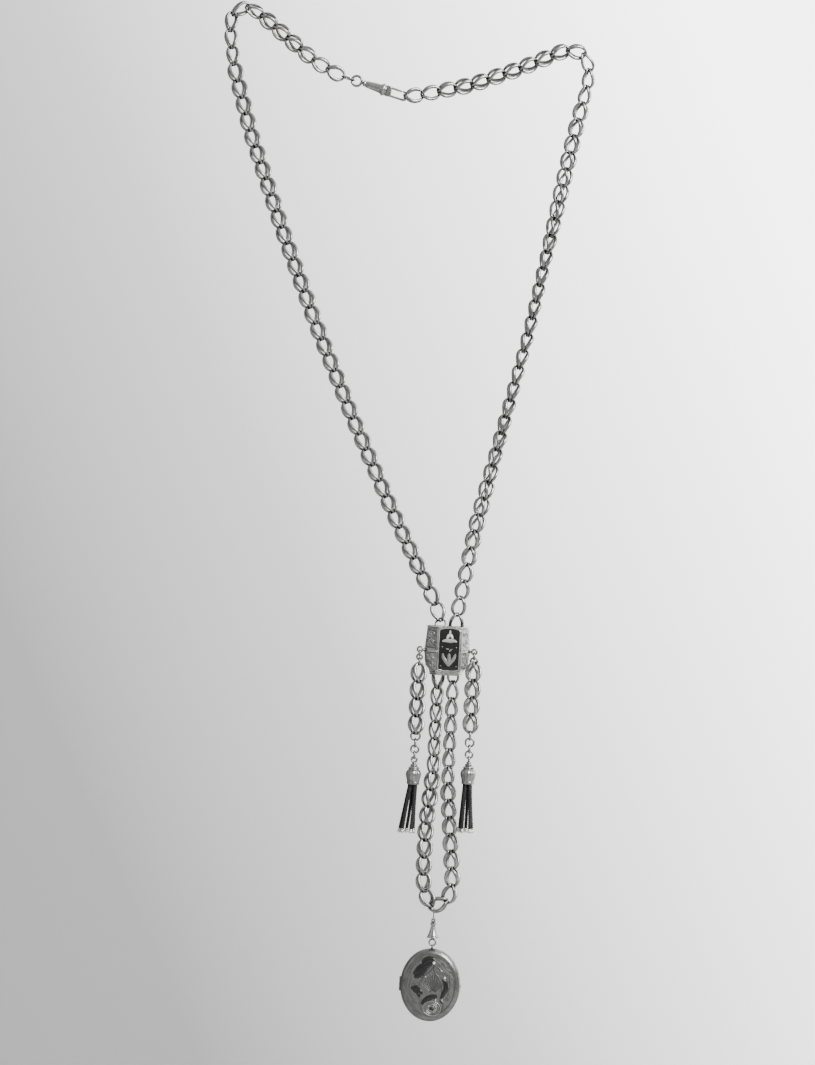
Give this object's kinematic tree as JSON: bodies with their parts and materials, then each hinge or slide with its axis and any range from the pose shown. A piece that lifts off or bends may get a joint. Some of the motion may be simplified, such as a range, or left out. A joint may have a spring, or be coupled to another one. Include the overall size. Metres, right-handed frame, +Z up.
{
  "type": "long slide chain with locket",
  "caption": "Long neck chain of folded links with a snap swivel at the back, a sliding barrel with two tassel drops and an oval hinged locket on a swivel hook.",
  "frame": {"origin": "midway between the two points that the chain hangs from", "axes": "+Z up, +Y away from the viewer, the chain hangs in the XZ plane; the slide's front looks along -Y"},
  "size_m": [0.1567, 0.0136, 0.4238],
  "materials": {
    "chain_metal": "worn, with dark tarnish in the folds",
    "bright_metal": "polished, hand worn",
    "black_enamel": "glossy fired enamel",
    "pale_enamel": "satin",
    "pearl": "soft lustre",
    "tassel_cord": "twisted thread",
    "glass": "clear"
  },
  "bodies": {
    "hung_links": {"neck_bend_left_links": "chain_metal", "neck_bend_right_links": "chain_metal"},
    "back_chain": {"back_left_links": "chain_metal", "back_right_links": "chain_metal", "back_jump_ring": "chain_metal", "back_swivel_barrel": "bright_metal", "back_swivel_hook": "bright_metal", "back_swivel_rivet": "bright_metal"},
    "back_swivel_eye_turn": {"back_swivel_eye": "bright_metal"},
    "back_gate": {"back_swivel_gate": "bright_metal"},
    "neck_band_1": {"neck_left_links_1": "chain_metal", "neck_right_links_1": "chain_metal"},
    "neck_band_2": {"neck_left_links_2": "chain_metal", "neck_right_links_2": "chain_metal"},
    "neck_band_3": {"neck_left_links_3": "chain_metal", "neck_right_links_3": "chain_metal"},
    "neck_band_4": {"neck_left_links_4": "chain_metal", "neck_right_links_4": "chain_metal"},
    "neck_band_5": {"neck_left_links_5": "chain_metal", "neck_right_links_5": "chain_metal"},
    "slide_run": {"slide_run_links": "chain_metal"},
    "slide": {"slide_case": "bright_metal", "slide_back_plate": "bright_metal", "slide_front_shell": "bright_metal", "slide_enamel_panel": "black_enamel", "slide_motif": "pale_enamel", "slide_middle_band": "chain_metal", "slide_grip_spring": "chain_metal", "slide_side_eyes": "chain_metal"},
    "left_drop_hanger": {"left_drop_hanger_rings": "chain_metal"},
    "left_drop_chain": {"left_drop_links": "chain_metal"},
    "left_tassel": {"left_drop_lower_rings": "chain_metal", "left_tassel_cap": "bright_metal", "left_tassel_cords": "tassel_cord", "left_tassel_tips": "bright_metal"},
    "right_drop_hanger": {"right_drop_hanger_rings": "chain_metal"},
    "right_drop_chain": {"right_drop_links": "chain_metal"},
    "right_tassel": {"right_drop_lower_rings": "chain_metal", "right_tassel_cap": "bright_metal", "right_tassel_cords": "tassel_cord", "right_tassel_tips": "bright_metal"},
    "loop_upper": {"loop_upper_links": "chain_metal"},
    "loop_lower": {"loop_lower_links": "chain_metal"},
    "locket_hook": {"locket_swivel_hook": "bright_metal", "locket_swivel_rivet": "bright_metal", "locket_swivel_barrel": "bright_metal"},
    "locket_gate": {"locket_swivel_gate": "bright_metal"},
    "locket_eye": {"locket_swivel_eye": "bright_metal"},
    "locket": {"locket_bow": "chain_metal", "locket_back_cover": "bright_metal", "locket_hinge_pin": "bright_metal", "locket_back_frame": "bright_metal", "locket_back_glass": "glass"},
    "locket_cover": {"locket_front_cover": "bright_metal", "locket_front_frame": "bright_metal", "locket_front_glass": "glass", "locket_leaves": "black_enamel", "locket_rosette": "bright_metal", "locket_pearls": "pearl"}
  },
  "joints": [
    {"name": "back_chain_swing", "type": "hinge", "parent": "hung_links", "child": "back_chain", "pos_m": [0.00003, 0, -0.00243], "axis": [0.998, 0, -0.0626], "range_deg": [-10, 10]},
    {"name": "back_eye_turn", "type": "hinge", "parent": "back_chain", "child": "back_swivel_eye_turn", "pos_m": [-0.01759, 0, -0.02553], "axis": [0.9663, 0, -0.2575], "range_deg": [-12, 12]},
    {"name": "back_gate_pivot", "type": "hinge", "parent": "back_chain", "child": "back_gate", "pos_m": [-0.0087, 0, -0.02635], "axis": [0, 1, 0], "range_deg": [0, 14], "stiffness_Nm_per_rad": 0.002, "springref_deg": -5.73},
    {"name": "neck_band_1_swing", "type": "hinge", "parent": "hung_links", "child": "neck_band_1", "pos_m": [-0.00116, 0, -0.01004], "axis": [0.9987, 0, -0.0512], "range_deg": [-12, 12]},
    {"name": "neck_band_2_swing", "type": "hinge", "parent": "neck_band_1", "child": "neck_band_2", "pos_m": [0.00169, 0, -0.05509], "axis": [0.9999, 0, -0.014], "range_deg": [-12, 12]},
    {"name": "neck_band_3_swing", "type": "hinge", "parent": "neck_band_2", "child": "neck_band_3", "pos_m": [0.00784, 0, -0.10619], "axis": [0.9998, 0, 0.0203], "range_deg": [-12, 12]},
    {"name": "neck_band_4_swing", "type": "hinge", "parent": "neck_band_3", "child": "neck_band_4", "pos_m": [0.01445, 0, -0.15676], "axis": [0.997, 0, 0.0774], "range_deg": [-12, 12]},
    {"name": "neck_band_5_swing", "type": "hinge", "parent": "neck_band_4", "child": "neck_band_5", "pos_m": [0.02003, 0, -0.20362], "axis": [0.9992, 0, 0.0406], "range_deg": [-12, 12]},
    {"name": "slide_run_swing", "type": "hinge", "parent": "neck_band_5", "child": "slide_run", "pos_m": [0.02756, 0, -0.25051], "axis": [0.8838, 0, -0.468], "range_deg": [-12, 12]},
    {"name": "slide_travel", "type": "slide", "parent": "slide_run", "child": "slide", "axis": [0, 0, -1], "range_m": [0, 0.036]},
    {"name": "left_drop_hanger_swing", "type": "hinge", "parent": "slide", "child": "left_drop_hanger", "pos_m": [0.01616, -0.0062, -0.26195], "axis": [1, 0, 0], "range_deg": [-40, 5]},
    {"name": "left_drop_chain_swing", "type": "hinge", "parent": "left_drop_hanger", "child": "left_drop_chain", "pos_m": [0.01616, -0.0062, -0.26755], "axis": [0, 1, 0], "range_deg": [0, 20]},
    {"name": "left_tassel_swing", "type": "hinge", "parent": "left_drop_chain", "child": "left_tassel", "pos_m": [0.01616, -0.0062, -0.29524], "axis": [1, 0, 0], "range_deg": [-30, 12]},
    {"name": "right_drop_hanger_swing", "type": "hinge", "parent": "slide", "child": "right_drop_hanger", "pos_m": [0.03896, -0.0062, -0.26195], "axis": [1, 0, 0], "range_deg": [-40, 5]},
    {"name": "right_drop_chain_swing", "type": "hinge", "parent": "right_drop_hanger", "child": "right_drop_chain", "pos_m": [0.03896, -0.0062, -0.26625], "axis": [1, 0, 0], "range_deg": [-20, 5]},
    {"name": "right_tassel_swing", "type": "hinge", "parent": "right_drop_chain", "child": "right_tassel", "pos_m": [0.03896, -0.0062, -0.29394], "axis": [0, 1, 0], "range_deg": [-20, 2]},
    {"name": "loop_upper_swing", "type": "hinge", "parent": "slide_run", "child": "loop_upper", "pos_m": [0.02756, 0, -0.31468], "axis": [0.8838, 0, -0.468], "range_deg": [-12, 12]},
    {"name": "loop_lower_swing", "type": "hinge", "parent": "loop_upper", "child": "loop_lower", "pos_m": [0.0277, 0, -0.33597], "axis": [0.9517, 0, -0.3069], "range_deg": [-12, 12]},
    {"name": "locket_hook_swing", "type": "hinge", "parent": "loop_lower", "child": "locket_hook", "pos_m": [0.02781, 0, -0.3695], "axis": [0, 1, 0], "range_deg": [-20, 20]},
    {"name": "locket_gate_pivot", "type": "hinge", "parent": "locket_hook", "child": "locket_gate", "pos_m": [0.02781, -0.0015, -0.3747], "axis": [-1, 0, 0], "range_deg": [0, 14], "stiffness_Nm_per_rad": 0.002, "springref_deg": -5.73},
    {"name": "locket_eye_turn", "type": "hinge", "parent": "locket_hook", "child": "locket_eye", "pos_m": [0.02781, 0, -0.38033], "axis": [0, 0, 1], "continuous": true},
    {"name": "locket_swing", "type": "hinge", "parent": "locket_eye", "child": "locket", "pos_m": [0.02781, 0, -0.38513], "axis": [1, 0, 0], "range_deg": [-40, 40]},
    {"name": "locket_cover_hinge", "type": "hinge", "parent": "locket", "child": "locket_cover", "pos_m": [0.01536, 0, -0.40159], "axis": [0, 0, -1], "range_deg": [0, 110]}
  ]
}
